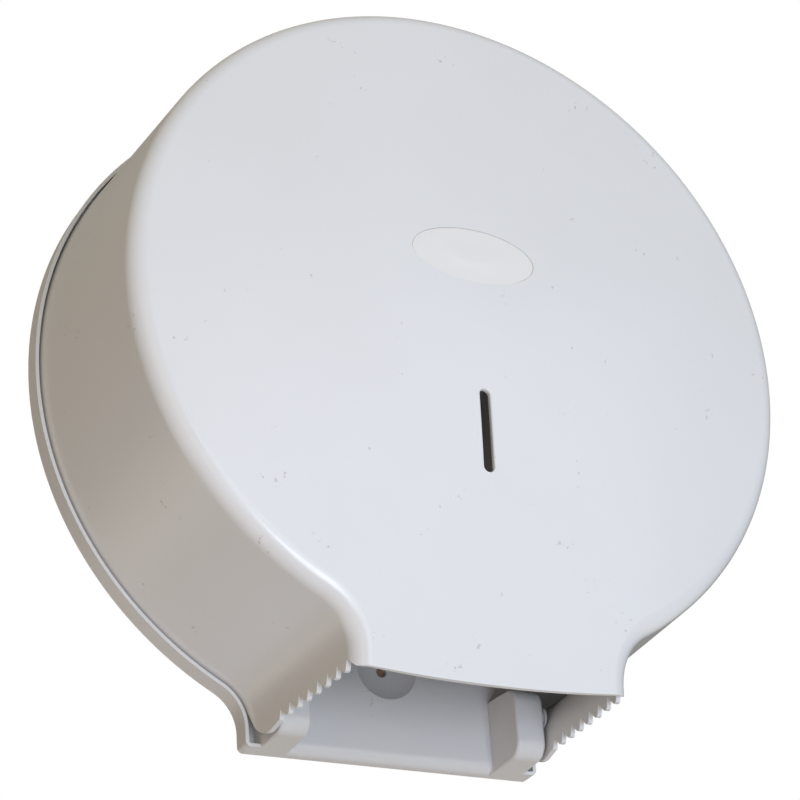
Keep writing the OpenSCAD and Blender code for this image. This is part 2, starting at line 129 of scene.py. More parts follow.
def bar(name, start, moves, low, high, along="Y"):
    """A closed bar: the pen's loop, filled and extruded along an axis from low to high."""
    if along != "Y":
        # The turn from Y to X or Z swaps the bar's two ends
        low, high = -high, -low
    bm = bmesh.new()
    pen(bm, start, moves)
    bmesh.ops.contextual_create(bm, geom=bm.edges[:])
    bmesh.ops.translate(bm, verts=bm.verts, vec=(0, low, 0))
    made = bmesh.ops.extrude_face_region(bm, geom=bm.faces[:])["geom"]
    bmesh.ops.translate(bm, verts=verts_of(made), vec=(0, high - low, 0))
    bmesh.ops.rotate(bm, verts=bm.verts, cent=(0, 0, 0), matrix=TURN_TO[along])
    bmesh.ops.recalc_face_normals(bm, faces=bm.faces)
    return to_object(bm, name)


print("the pen welds points closer than", WELD, "mm")

# %% [markdown]
# ## Rods, blocks and cuts
# Holes, bosses and pockets are rods and blocks that are added to a form or taken from it. A Boolean modifier
# does each cut, and its result is kept as the piece's own mesh before the tool is thrown away. Where it
# can, a tool sticks out of the form that it cuts, because two faces in one plane leave slivers.

# %% Rod and block
OVER = 1.0


def rod(name, centre, radius, low, high, along="Y", steps=64):
    """A round rod about a point, along an axis."""
    x, z = centre
    return bar(name, (x + radius, z), [(x, z, WHOLE_TURN, steps)], low, high, along)


def block(name, low, high):
    """A block from its lowest corner to its highest."""
    bm = bmesh.new()
    bmesh.ops.create_cube(bm, size=1)
    size = [b - a for a, b in zip(low, high)]
    bmesh.ops.scale(bm, verts=bm.verts, vec=size)
    bmesh.ops.translate(bm, verts=bm.verts, vec=[(a + b) / 2 for a, b in zip(low, high)])
    return to_object(bm, name)


print("tools stick out by", OVER, "mm")


# %% Boolean
def keep_result(piece):
    """Makes what the modifiers give the piece's own mesh."""
    seen = piece.evaluated_get(bpy.context.evaluated_depsgraph_get())
    mesh = bpy.data.meshes.new_from_object(seen)
    piece.modifiers.clear()
    old = piece.data
    piece.data = mesh
    bpy.data.meshes.remove(old)


def combine(piece, tools, how="DIFFERENCE"):
    """Cuts tools from the piece, or joins them to it."""
    for tool in tools:
        step = piece.modifiers.new(how.lower(), "BOOLEAN")
        step.operation = how
        step.solver = "EXACT"
        step.object = tool
        keep_result(piece)
        bpy.data.meshes.remove(tool.data)


# %% [markdown]
# ## From a form to a finished piece
# Real mouldings have no sharp edges, so a piece gets a small rounding wherever two faces meet at a clear
# angle, unless its roundings are modelled already. Faces that meet flatter than that are shaded as one
# smooth surface. The mesh is then brought to metres, given its material, and tied to the body that it moves
# with.

# %% Soften edges
MM = 0.001
SHARP = math.radians(32)


def soften(piece, width):
    """Rounds the edges where two faces meet at more than the sharp angle."""
    rounding = piece.modifiers.new("edges", "BEVEL")
    rounding.width = width
    rounding.segments = 2
    rounding.limit_method = "ANGLE"
    rounding.angle_limit = SHARP
    rounding.miter_outer = "MITER_ARC"
    keep_result(piece)


def mark_sharp(piece):
    """Shades the faces smooth, apart from where they meet at more than the sharp angle."""
    bm = bmesh.new()
    bm.from_mesh(piece.data)
    for face in bm.faces:
        face.smooth = True
    for edge in bm.edges:
        edge.smooth = len(edge.link_faces) == 2 and edge.calc_face_angle(0) < SHARP
    bm.to_mesh(piece.data)
    bm.free()


print(f"edges of more than {math.degrees(SHARP):.0f} degrees count as sharp")

# %% Finish a piece
def even_normals(piece):
    """Lets large faces lead the shading, so that cuts leave no shadow on them."""
    evened = piece.modifiers.new("evened", "WEIGHTED_NORMAL")
    evened.keep_sharp = True
    keep_result(piece)


def set_normals(mesh, true_normal):
    """Gives each corner its exact normal, or keeps the shading's own where true_normal gives None."""
    shaded = [corner.vector.copy() for corner in mesh.corner_normals]
    mesh.normals_split_custom_set([
        true_normal(face, mesh.vertices[mesh.loops[i].vertex_index].co / MM) or shaded[i]
        for face in mesh.polygons for i in face.loop_indices])


def finish_piece(piece, material, body, stands_for, width=0, true_normal=None):
    """Softens edges by a width, shades, scales to metres and ties a piece to its body."""
    if width:
        soften(piece, width)
    piece.data.transform(Matrix.Scale(MM, 4))
    mark_sharp(piece)
    if not width:
        even_normals(piece)
    if true_normal:
        set_normals(piece.data, true_normal)
    piece.data.materials.clear()
    piece.data.materials.append(material)
    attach(piece, body)
    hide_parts(stands_for)
    print(f"{piece.name}: {len(piece.data.polygons)} faces")


# %% [markdown]
# ## Building with nodes
# A material is a tree of nodes. These helpers add a node and link it in one line, so that the trees below
# read like the effect that they make. Noise always reads the piece's own coordinates, so a pattern stays
# where it is on the piece when the piece moves.

# %% Helpers for nodes
def add(tree, kind, links=(), **values):
    """Adds a node, sets its values and links its inputs."""
    node = tree.nodes.new(kind)
    for key, value in values.items():
        setattr(node, key, value)
    for socket, source in links:
        if isinstance(source, bpy.types.NodeSocket):
            tree.links.new(source, node.inputs[socket])
        else:
            node.inputs[socket].default_value = source
    return node


def maths(tree, operation, first, second=0.0):
    """One sum of two numbers."""
    return add(tree, "ShaderNodeMath", [(0, first), (1, second)], operation=operation).outputs[0]


def mix(tree, share, first, second):
    """Two colours mixed. The node's sockets 6 and 7 take colours, and socket 2 gives one."""
    return add(tree, "ShaderNodeMix", [(0, share), (6, first), (7, second)], data_type="RGBA").outputs[2]


def ramp(tree, value, low, high, top=1.0):
    """A value between low and high brought to 0 up to top."""
    return add(tree, "ShaderNodeMapRange", [
        ("Value", value), ("From Min", low), ("From Max", high), ("To Max", top)]).outputs[0]


def noise(tree, cells, detail):
    """Noise on the piece's own coordinates, of a given number of cells per metre."""
    place = add(tree, "ShaderNodeTexCoord").outputs["Object"]
    return add(tree, "ShaderNodeTexNoise", [
        ("Vector", place), ("Scale", cells), ("Detail", detail)]).outputs["Fac"]


# %% Groups with named sockets
def new_group(name, inputs, outputs):
    """A shader node group with named sockets, given as (name, kind, value)."""
    group = bpy.data.node_groups.new(name, "ShaderNodeTree")
    for label, kind, value in inputs:
        socket = group.interface.new_socket(label, in_out="INPUT", socket_type=kind)
        socket.default_value = value
    for label, kind in outputs:
        group.interface.new_socket(label, in_out="OUTPUT", socket_type=kind)
    return group, group.nodes.new("NodeGroupInput"), group.nodes.new("NodeGroupOutput")


# %% [markdown]
# ## Moulded plastic
# The case is injection-moulded ABS with a half gloss. Two things keep such a surface from looking like paint
# on glass: a very fine orange peel with long, shallow waves under it, and a roughness that drifts where hands
# and cloths have been. A node group makes both, so that every finish can use it with numbers of its own.

# %% Node group for the grain
DRIFT_CELLS, WAVE_CELLS, PEEL_CELLS = 28, 22, 1400
WAVE_HEIGHT, PEEL_HEIGHT = 0.0006, 0.00004


def make_grain():
    """Orange peel, long waves and drifting gloss of a moulded surface."""
    group, given, out = new_group(
        "moulded_grain",
        [("Roughness", "NodeSocketFloat", 0.3), ("Drift", "NodeSocketFloat", 0.1),
         ("Peel", "NodeSocketFloat", 0.2), ("Waves", "NodeSocketFloat", 0.3)],
        [("Roughness", "NodeSocketFloat"), ("Normal", "NodeSocketVector")])
    centred = maths(group, "SUBTRACT", noise(group, DRIFT_CELLS, 4), 0.5)
    amount = maths(group, "MULTIPLY", centred, given.outputs["Drift"])
    rough = maths(group, "ADD", given.outputs["Roughness"], amount)
    waves = add(group, "ShaderNodeBump", [
        ("Strength", given.outputs["Waves"]), ("Distance", WAVE_HEIGHT),
        ("Height", noise(group, WAVE_CELLS, 1))])
    peel = add(group, "ShaderNodeBump", [
        ("Strength", given.outputs["Peel"]), ("Distance", PEEL_HEIGHT),
        ("Height", noise(group, PEEL_CELLS, 1)), ("Normal", waves.outputs[0])])
    group.links.new(rough, out.inputs["Roughness"])
    group.links.new(peel.outputs[0], out.inputs["Normal"])
    return group


grain = make_grain()
print("group", grain.name, "with", len(grain.nodes), "nodes")

# %% [markdown]
# ## Use and dust
# White plastic is never one white. It yellows or greys a little in broad clouds, and it picks up fine specks.
# This group mixes a second tint into the colour in soft clouds, and sprinkles sparse specks. Two noises
# multiplied make the specks gather in some places and leave others clean, which one noise can't do.

# %% Node group for tint and marks
CLOUD_CELLS, SPECK_CELLS, RARE_CELLS = 9, 420, 60


def make_tint():
    """Clouds of a second tint, with sparse specks."""
    group, given, out = new_group(
        "tint_and_marks",
        [("Colour", "NodeSocketColor", (0.8, 0.8, 0.8, 1)), ("Clouds", "NodeSocketColor", (0.7, 0.7, 0.7, 1)),
         ("Marks", "NodeSocketColor", (0.35, 0.33, 0.3, 1)), ("Amount", "NodeSocketFloat", 0.5)],
        [("Colour", "NodeSocketColor")])
    clouds = ramp(group, noise(group, CLOUD_CELLS, 5), 0.42, 0.75, 0.6)
    tinted = mix(group, clouds, given.outputs["Colour"], given.outputs["Clouds"])
    specks = maths(group, "MULTIPLY", noise(group, SPECK_CELLS, 2), noise(group, RARE_CELLS, 2))
    share = maths(group, "MULTIPLY", ramp(group, specks, 0.44, 0.5), given.outputs["Amount"])
    group.links.new(mix(group, share, tinted, given.outputs["Marks"]), out.inputs["Colour"])
    return group


tint = make_tint()
print("group", tint.name, "with", len(tint.nodes), "nodes")


# %% [markdown]
# ## The finishes
# One function turns the two groups into a finish. The numbers that are the same all over a surface, such as
# the weight of the coat, are set on the shader itself. The case and the badge have a thin gloss skin, as a
# polished mould leaves. The hub and its nylon bush are matt, and the lock and the fixings are metal.

# %% Finishes
COAT_ROUGHNESS = 0.08


def finish(name, colour, clouds, rough, drift=0.12, amount=0.4, metallic=0.0, coat=0.0):
    """A material from the shared groups with its own numbers."""
    material = bpy.data.materials.new(name)
    material.use_nodes = True
    tree = material.node_tree
    shader = tree.nodes["Principled BSDF"]
    shader.inputs["Metallic"].default_value = metallic
    shader.inputs["Coat Weight"].default_value = coat
    shader.inputs["Coat Roughness"].default_value = COAT_ROUGHNESS
    surface = add(tree, "ShaderNodeGroup", [("Roughness", rough), ("Drift", drift)], node_tree=grain)
    colours = add(tree, "ShaderNodeGroup", [
        ("Colour", (*colour, 1)), ("Clouds", (*clouds, 1)), ("Amount", amount)], node_tree=tint)
    tree.links.new(colours.outputs["Colour"], shader.inputs["Base Color"])
    tree.links.new(surface.outputs["Roughness"], shader.inputs["Roughness"])
    tree.links.new(surface.outputs["Normal"], shader.inputs["Normal"])
    return material


case_white = finish("case_white", (0.80, 0.815, 0.83), (0.76, 0.77, 0.775), 0.24, coat=0.15)
plate_white = finish("plate_white", (0.74, 0.745, 0.75), (0.68, 0.68, 0.67), 0.33)
badge_white = finish("badge_white", (0.84, 0.835, 0.825), (0.82, 0.815, 0.80), 0.22, amount=0.15, coat=0.15)
hub_grey = finish("hub_grey", (0.62, 0.63, 0.64), (0.55, 0.55, 0.55), 0.5)
nylon = finish("nylon", (0.78, 0.72, 0.58), (0.7, 0.64, 0.5), 0.45)
zinc = finish("zinc", (0.62, 0.63, 0.65), (0.5, 0.51, 0.54), 0.34, drift=0.25, metallic=1.0)
chrome = finish("chrome", (0.72, 0.72, 0.73), (0.6, 0.6, 0.6), 0.14, metallic=1.0)
print("finishes:", [m.name for m in bpy.data.materials])

# %% [markdown]
# ## The outline
# Case and back plate share one keyhole outline: a disc for the roll and a neck for the paper, joined by two
# hollow curves. Every inset line shares their centres, so one function gives the pen's moves for any inset.

# %% Keyhole outline
DISC_R, NECK_HALF, NECK_DROP, BLEND_R, FOOT_R = 165.0, 71.0, 170.0, 21.0, 2.5
BLEND_X = NECK_HALF + BLEND_R
BLEND_Z = -math.sqrt((DISC_R + BLEND_R) ** 2 - BLEND_X ** 2)
BLEND_A = math.degrees(math.atan2(-BLEND_Z, BLEND_X))
DISC_STEPS, BLEND_STEPS, FOOT_STEPS = 200, 14, 8


def keyhole(inset, drop, foot=0):
    """Start point and moves of the keyhole line, with the neck's lower corners round if foot is given."""
    x = NECK_HALF - inset
    start = (x, BLEND_Z)
    moves = [(BLEND_X, BLEND_Z, -BLEND_A, BLEND_STEPS), (0, 0, 180 + 2 * BLEND_A, DISC_STEPS),
             (-BLEND_X, BLEND_Z, -BLEND_A, BLEND_STEPS)]
    if foot:
        r, low = foot - inset, foot - drop
        moves += [(-x, low), (-x + r, low, 90, FOOT_STEPS)]
        moves += [(x - r, inset - drop), (x - r, low, 90, FOOT_STEPS)]
    else:
        moves += [(-x, -drop), (x, -drop)]
    return start, moves + [start]


print(f"hollow curves turn through {BLEND_A:.1f} degrees about ({BLEND_X:.0f}, {BLEND_Z:.1f})")

# %% [markdown]
# ## The cover's section
# The cover is one thin moulding: straight sides that lean in a little, a rounded front edge and a shallow
# dome. Its neck keeps it from being turned on a lathe, so its outer face will grow from the outline ring by
# ring. A ring on the side or on the rounded edge is the outline moved inwards by the same amount everywhere,
# and a ring on the dome is a share of the last of those.

# %% Rings of the cover
FACE_DEPTH, DOME, EDGE_R, WALL = 107.9, 9.7, 8.6, 2.2
REAR_GAP, REAR_INSET, FRONT_INSET = 3.5, 2.35, 6.7
EDGE_END = 90 - math.degrees(math.atan(2 * DOME / DISC_R))
SIDE_RINGS, EDGE_RINGS, DOME_RINGS = 5, 12, 26


def front(rho):
    """Depth of the dome at a distance from the roll axis."""
    return FACE_DEPTH + DOME * (1 - (rho / DISC_R) ** 2)


def moved_in(spot, inset):
    """Place of a spot of the outline, (x, z, its inward direction), once it is moved inwards."""
    x, z, dx, dz = spot
    return x + inset * dx, z + inset * dz


def edge_inset(degrees):
    """How far in the rounded front edge is once it has turned through some degrees."""
    return FRONT_INSET + EDGE_R * (1 - math.cos(math.radians(degrees)))


def on_edge(spot, degrees):
    """A spot's place on the rounded front edge, which ends where it meets the dome smoothly."""
    x, z = moved_in(spot, edge_inset(degrees))
    end = moved_in(spot, edge_inset(EDGE_END))
    behind = EDGE_R * (math.sin(math.radians(EDGE_END)) - math.sin(math.radians(degrees)))
    return x, -front(math.hypot(*end)) + behind, z


def on_side(spot, share):
    """A spot's place on the straight side, as a share of the way from the rear to the front edge."""
    x0, z0 = moved_in(spot, REAR_INSET)
    x1, y1, z1 = on_edge(spot, 0)
    return x0 + (x1 - x0) * share, -REAR_GAP + (y1 + REAR_GAP) * share, z0 + (z1 - z0) * share


def on_dome(spot, share):
    """A spot's place on the dome, as a share of its edge's distance from the axis."""
    x, z = moved_in(spot, edge_inset(EDGE_END))
    return share * x, -front(share * math.hypot(x, z)), share * z


RINGS = [(on_side, k / SIDE_RINGS) for k in range(SIDE_RINGS)]
RINGS += [(on_edge, EDGE_END * k / EDGE_RINGS) for k in range(EDGE_RINGS + 1)]
RINGS += [(on_dome, 1 - k / DOME_RINGS) for k in range(1, DOME_RINGS)]
print(len(RINGS), "rings, and the front edge turns through", round(EDGE_END, 1), "degrees")

# %% [markdown]
# ## The cover's skin
# The pen's outline becomes the rear ring. Each new ring is extruded from the last one and moved to its place,
# and the innermost one shrinks to a point. Each vertex carries the number of the spot that it started from,
# so that its place on any ring can be worked out. A Solidify modifier then gives the wall its even
# thickness, as the mould does.

# %% Inward directions
ON_CURVE = 0.01


def inward(x, z):
    """Direction in which the outline moves when it is inset: on the neck, on a hollow curve, on the disc."""
    if z < BLEND_Z - WELD:
        return -x / NECK_HALF, 0.0
    dx, dz = x - math.copysign(BLEND_X, x), z - BLEND_Z
    far = math.hypot(dx, dz)
    if far < BLEND_R + ON_CURVE and z < 0:
        return dx / far, dz / far
    return -x / math.hypot(x, z), -z / math.hypot(x, z)


print("inwards from the disc's top:", inward(0, DISC_R))

# %% Skin of the cover
# The neck is grown too long, and is cut to its teeth later
OVER_DROP = 178.0
# Straight stretches longer than the first number, in millimetres, get the second number of cuts
STRAIGHT_CUTS = ((40, 15), (10, 2))


def cover_skin():
    """The cover's outer face as an open sheet, grown from the outline."""
    bm = bmesh.new()
    pen(bm, *keyhole(0, OVER_DROP))
    for length, cuts in STRAIGHT_CUTS:
        bmesh.ops.subdivide_edges(bm, edges=[e for e in bm.edges if e.calc_length() > length], cuts=cuts)
    tag = bm.verts.layers.int.new("spot")
    spots = []
    for i, v in enumerate(bm.verts):
        v[tag] = i
        spots.append((v.co.x, v.co.z, *inward(v.co.x, v.co.z)))

    def settle(verts, ring):
        place, how_far = ring
        for v in verts:
            v.co = place(spots[v[tag]], how_far)

    settle(bm.verts, RINGS[0])
    edges = bm.edges[:]
    for ring in RINGS[1:]:
        made = bmesh.ops.extrude_edge_only(bm, edges=edges)["geom"]
        fresh = set(verts_of(made))
        settle(fresh, ring)
        edges = [g for g in made if isinstance(g, bmesh.types.BMEdge) and fresh.issuperset(g.verts)]
    made = bmesh.ops.extrude_edge_only(bm, edges=edges)["geom"]
    bmesh.ops.pointmerge(bm, verts=verts_of(made), merge_co=(0, -front(0), 0))
    bmesh.ops.recalc_face_normals(bm, faces=bm.faces)
    bm.normal_update()
    # An open sheet has no inside of its own, so its middle is made to face the front
    middle = min(bm.faces, key=lambda f: f.calc_center_median().y)
    if middle.normal.y > 0:
        bmesh.ops.reverse_faces(bm, faces=bm.faces)
    return to_object(bm, "cover_shell")


cover = cover_skin()
wall = cover.modifiers.new("wall", "SOLIDIFY")
wall.thickness = WALL
wall.offset = -1
wall.use_even_offset = True
keep_result(cover)
print("cover skin:", len(cover.data.polygons), "faces")

# %% [markdown]
# ## Tear edges
# The lower edges of the cover's two sides tear the paper. Each is a row of eight notches: a long slanted
# side in front, and a steep side behind that ends in a small rounded nose. The pen draws the whole side view
# of what is cut away, notch by notch, and one long bar cuts both sides at once.

# %% Cut the sides
HINGE_Y, HINGE_Z, CORNER_R, CORNER_RISE, CORNER_UP = -27.5, -150.0, 19.0, 8.0, 40.0
NOTCHES, PITCH, FIRST_NOTCH, NOTCH_TOP, NOTCH_DEEP = 8, 8.6, 98.8, -162.9, 4.5
NOTCH_R, NOSE_R, LEAN, RUN = 0.6, 1.2, 0.9, 4.6
TOOTH_Z = NOTCH_TOP - NOTCH_DEEP
SIDE_FRONT = -104.8
FAR_DOWN, FAR_SIDE, FAR_BACK = -215.0, 180, 5
NOTCH_STEPS, CORNER_STEPS = 6, 16

side_moves = [(SIDE_FRONT, TOOTH_Z)]
for i in range(NOTCHES):
    y = -FIRST_NOTCH + i * PITCH
    nose = y + NOTCH_R + LEAN + NOSE_R
    side_moves += [
        (y - RUN, TOOTH_Z), (y - NOTCH_R, NOTCH_TOP - NOTCH_R), (y, NOTCH_TOP - NOTCH_R, -180, NOTCH_STEPS),
        (nose - NOSE_R, TOOTH_Z + NOSE_R), (nose, TOOTH_Z + NOSE_R, 90, NOTCH_STEPS)]
side_moves += [
    (HINGE_Y - CORNER_RISE, TOOTH_Z), (HINGE_Y, HINGE_Z - CORNER_R), (HINGE_Y, HINGE_Z, 90, CORNER_STEPS),
    (-REAR_GAP, HINGE_Z + CORNER_UP), (FAR_BACK, HINGE_Z + CORNER_UP), (FAR_BACK, FAR_DOWN),
    (SIDE_FRONT, FAR_DOWN)]
combine(cover, [bar("side_tool", (SIDE_FRONT, FAR_DOWN), side_moves, -FAR_SIDE, FAR_SIDE, "X")])
print("tear edges cut,", len(cover.data.polygons), "faces")

# %% [markdown]
# ## The front's lower edge
# The front ends in a bowed edge, lowest in the middle. The bow is one arc, so its radius follows from the
# neck's width and from how much lower the middle is than the sides.

# %% Tool for the lower edge
FACE_REAR, FACE_LOW, FACE_LOW_SIDE = 103.8, -170.6, -166.5
FAR_FRONT, PAST_NECK, BOW_STEPS = -125, 80, 24
bow = FACE_LOW_SIDE - FACE_LOW
bow_r = (NECK_HALF ** 2 + bow ** 2) / (2 * bow)
bow_a = 2 * math.degrees(math.asin(NECK_HALF / bow_r))
face_tool = bar("face_tool", (-NECK_HALF, FACE_LOW_SIDE), [
    (0, FACE_LOW + bow_r, bow_a, BOW_STEPS), (PAST_NECK, FACE_LOW_SIDE), (PAST_NECK, FAR_DOWN),
    (-PAST_NECK, FAR_DOWN), (-PAST_NECK, FACE_LOW_SIDE), (-NECK_HALF, FACE_LOW_SIDE)], FAR_FRONT, -FACE_REAR)
print(f"bow of {bow:.1f} mm with a radius of {bow_r:.0f} mm")

# %% [markdown]
# ## The level slot
# The slot shows how much paper is left. Its front rim is rounded, and it lies on a dome, so a plain cutter
# won't do: the tool narrows ring by ring through a quarter circle, is pushed through the wall, and is then
# laid on the dome, each vertex as deep as the dome is there.

# %% Tool for the slot
SLOT_TOP, SLOT_LEN, SLOT_W, SLOT_RIM = -38.4, 38.4, 4.8, 0.9
# Where the tool starts ahead of the dome, how near the dome its wide part ends, and how deep it goes on
SLOT_AHEAD, SLOT_PROUD, SLOT_THROUGH = 8, 0.03, 10
SLOT_STEPS, SLOT_SPANS, RIM_STEPS = 20, 6, 5


def slot_form():
    """The slot's tool: wide in front of the dome, and drawn in round the rim to the slot's own width."""
    r, high, low = SLOT_W / 2 + SLOT_RIM, SLOT_TOP - SLOT_W / 2, SLOT_TOP - SLOT_LEN + SLOT_W / 2
    heights = [low + (high - low) * k / SLOT_SPANS for k in range(SLOT_SPANS + 1)]
    moves = [(0, high, 180, SLOT_STEPS), *((-r, z) for z in heights[-2::-1])]
    moves += [(0, low, 180, SLOT_STEPS), *((r, z) for z in heights[1:])]
    form = bar("slot_tool", (r, high), moves, -SLOT_AHEAD, -SLOT_PROUD)
    bm = bmesh.new()
    bm.from_mesh(form.data)
    deep = max(bm.faces, key=lambda f: f.calc_center_median().y)
    for k in range(RIM_STEPS):
        before, now = (math.radians(90 * n / RIM_STEPS) for n in (k, k + 1))
        bmesh.ops.inset_region(bm, faces=[deep], thickness=SLOT_RIM * (math.sin(now) - math.sin(before)))
        deeper = SLOT_RIM * (math.cos(before) - math.cos(now))
        bmesh.ops.translate(bm, verts=deep.verts, vec=(0, deeper, 0))
    made = bmesh.ops.extrude_face_region(bm, geom=[deep])["geom"]
    bmesh.ops.translate(bm, verts=verts_of(made), vec=(0, SLOT_THROUGH, 0))
    bmesh.ops.delete(bm, geom=[deep], context="FACES_ONLY")
    for v in bm.verts:
        v.co.y -= front(math.hypot(v.co.x, v.co.z))
    bmesh.ops.recalc_face_normals(bm, faces=bm.faces)
    bm.to_mesh(form.data)
    bm.free()
    return form


print("slot of", SLOT_W, "by", SLOT_LEN, "mm")

# %% [markdown]
# ## The badge's seat
# The badge sits in a shallow oval seat with a flat floor. An oval is a circle that was widened, so a rod of
# one millimetre is scaled to the seat's two half widths. The three tools then cut the front in turn.

# %% Cut the front
BADGE_Z, BADGE_A, BADGE_B, BADGE_FLOOR = 27.3, 30.0, 13.4, 116.3
OVAL_STEPS = 96


def oval(name, half_width, half_height, low, high):
    """An oval rod in front of the wall, from a circle that is scaled."""
    tool = rod(name, (0, 0), 1, low, high, steps=OVAL_STEPS)
    stretch = Matrix.Diagonal((half_width, 1, half_height, 1))
    tool.data.transform(Matrix.Translation((0, 0, BADGE_Z)) @ stretch)
    return tool


combine(cover, [face_tool, slot_form(), oval("badge_tool", BADGE_A, BADGE_B, FAR_FRONT, -BADGE_FLOOR)])
print("front cut,", len(cover.data.polygons), "faces")

# %% [markdown]
# ## Lock seat and hinge seats
# A cam lock sits in the top of the cover, so the wall gets a pad inside, a flat seat outside and a hole. The
# hinge pegs sit in two shallow round seats on the inner faces of the neck's sides. All of them are round, so
# rods on the lock's axis and on the hinge axis make them.

# %% Cut the seats
LOCK_Y, LOCK_SEAT, LOCK_PAD_Z, LOCK_PAD_TOP, LOCK_PAD_R = -38.0, 159.6, 156.0, 160.0, 14.0
LOCK_FLANGE_R, LOCK_BODY_R, STUD_R, STUD_SEAT, STUD_SEAT_DEEP = 11.0, 7.9, 5.0, 65.9, 2.0
SEAT_GAP, BORE_GAP, SEAT_STEPS = 0.2, 0.05, 48
FAR_UP, UNDER_PAD = 175, 150


def lock_rod(name, radius, low, high):
    """A round rod on the lock's upright axis."""
    return rod(name, (0, LOCK_Y), radius, low, high, "Z", SEAT_STEPS)


def hinge_rod(name, radius, low, high):
    """A round rod on the hinge axis, between two distances from the middle."""
    return rod(name, (HINGE_Y, HINGE_Z), radius, *sorted((low, high)), "X", SEAT_STEPS)


combine(cover, [lock_rod("pad", LOCK_PAD_R, LOCK_PAD_Z, LOCK_PAD_TOP)], "UNION")
combine(cover, [
    lock_rod("seat", LOCK_FLANGE_R + SEAT_GAP, LOCK_SEAT, FAR_UP),
    lock_rod("bore", LOCK_BODY_R + BORE_GAP, UNDER_PAD, FAR_UP)])
for side in (1, -1):
    combine(cover, [
        hinge_rod("stud_seat", STUD_R + SEAT_GAP, side * (STUD_SEAT - STUD_SEAT_DEEP), side * STUD_SEAT)])
print("seats cut,", len(cover.data.polygons), "faces")

# %% [markdown]
# ## Shading the dome
# Cuts leave long thin faces on the dome, and their shading would show as faint streaks in the gloss. The dome
# is a known surface, so its exact normals can be worked out and given to every corner that lies on it.

# %% Finish the cover
FACES_FRONT = -0.9
COVER_SLACK, BADGE_SLACK = 0.02, 0.13


def dome_normal(slack):
    """Gives the dome's exact normal at a corner that lies within some slack of it, or else None."""
    def normal(face, place):
        x, y, z = place
        if abs(y + front(math.hypot(x, z))) > slack or face.normal.y > FACES_FRONT:
            return None
        return Vector((2 * DOME * x / DISC_R ** 2, -1, 2 * DOME * z / DISC_R ** 2)).normalized()
    return normal


finish_piece(cover, case_white, "cover", "cover", true_normal=dome_normal(COVER_SLACK))

# %% [markdown]
# ## The badge
# The badge is a thin oval plate in its seat on the front. It has a broken edge, then a narrow slope round
# its field, and the field follows the dome, just under it. It is made from one disc that is inset ring by
# ring. The field's rings are scaled instead, because a wide inset breaks on an oval.

# %% Badge
BADGE_GAP, BADGE_SIDE, BADGE_RIM_DEPTH, FIELD_DEPTH = 0.22, 0.6, 0.34, 0.06
# The rings from the edge inwards: the inset, the share of the last ring, and the depth under the dome
BADGE_RINGS = [(0.15, 1, 0.24), (1.1, 1, 0.04), (0.3, 1, FIELD_DEPTH)]
BADGE_RINGS += [(0, share, FIELD_DEPTH) for share in (0.9, 0.75, 0.6, 0.4)]


def badge():
    """Oval plate with a broken edge, a narrow slope and a face that follows the dome."""
    bm = bmesh.new()
    bmesh.ops.create_circle(bm, cap_ends=True, radius=1, segments=OVAL_STEPS)
    bmesh.ops.rotate(bm, verts=bm.verts, cent=(0, 0, 0), matrix=Matrix.Rotation(math.radians(90), 3, "X"))
    bmesh.ops.scale(bm, verts=bm.verts, vec=(BADGE_A - BADGE_GAP, 1, BADGE_B - BADGE_GAP))
    bmesh.ops.translate(bm, verts=bm.verts, vec=(0, -BADGE_FLOOR, BADGE_Z))
    made = bmesh.ops.extrude_face_region(bm, geom=bm.faces[:])["geom"]
    top = [g for g in made if isinstance(g, bmesh.types.BMFace)][0]
    bmesh.ops.translate(bm, verts=top.verts, vec=(0, -BADGE_SIDE, 0))
    sunk = [(v, BADGE_RIM_DEPTH) for v in top.verts]
    middle = Matrix.Translation((0, 0, -BADGE_Z))
    for inset, share, depth in BADGE_RINGS:
        bmesh.ops.inset_region(bm, faces=[top], thickness=inset, use_even_offset=True)
        bmesh.ops.scale(bm, verts=top.verts, vec=(share, 1, share), space=middle)
        sunk += [(v, depth) for v in top.verts]
    for v, depth in sunk:
        v.co.y = depth - front(math.hypot(v.co.x, v.co.z))
    bmesh.ops.recalc_face_normals(bm, faces=bm.faces)
    return to_object(bm, "badge")


finish_piece(
    badge(), badge_white, "cover", "badge_plate", true_normal=dome_normal(BADGE_SLACK))

# %% [markdown]
# ## The back plate
# The back plate is a shallow tray with a thin lip, a raised panel for stiffness and two cheeks that carry the
# cover's pegs. It is built as it would be machined: outer forms joined, then the room between them cut out.
# Between the cheeks the lip is cut away, down to just in front of the panel. The panel is joined after that
# cut, and ends inside the lip, so that their faces don't lie in one plane.

# %% Tray, lip and panel
RIM_DEPTH, RIM_WALL, SKIN, PANEL_DEPTH, PANEL_INSET = 9.7, 1.6, 2.4, 7.3, 7.0
CHEEK_IN, CHEEK_OUT, CHEEK_DEPTH, CHEEK_TOP, CHEEK_ROUND, CHEEK_EDGE = 50.0, 64.0, 32.7, -137.0, 8.0, 3.2
GAP_HALF, GAP_REAR, GAP_TOP = CHEEK_IN + 2, -PANEL_DEPTH - 0.1, -167.0

plate = bar("back_plate_shell", *keyhole(0, NECK_DROP, FOOT_R), -RIM_DEPTH, 0)
tray_room = bar("tray_room", *keyhole(RIM_WALL, NECK_DROP, FOOT_R), -RIM_DEPTH - OVER, -SKIN)
lip_gap = block(
    "lip_gap", (-GAP_HALF, -RIM_DEPTH - OVER, -NECK_DROP - OVER), (GAP_HALF, GAP_REAR, GAP_TOP))
combine(plate, [tray_room, lip_gap])
panel = bar("panel", *keyhole(PANEL_INSET, NECK_DROP - RIM_WALL / 2), -PANEL_DEPTH, -SKIN / 2)
combine(plate, [panel], "UNION")
print("tray and panel:", len(plate.data.polygons), "faces")

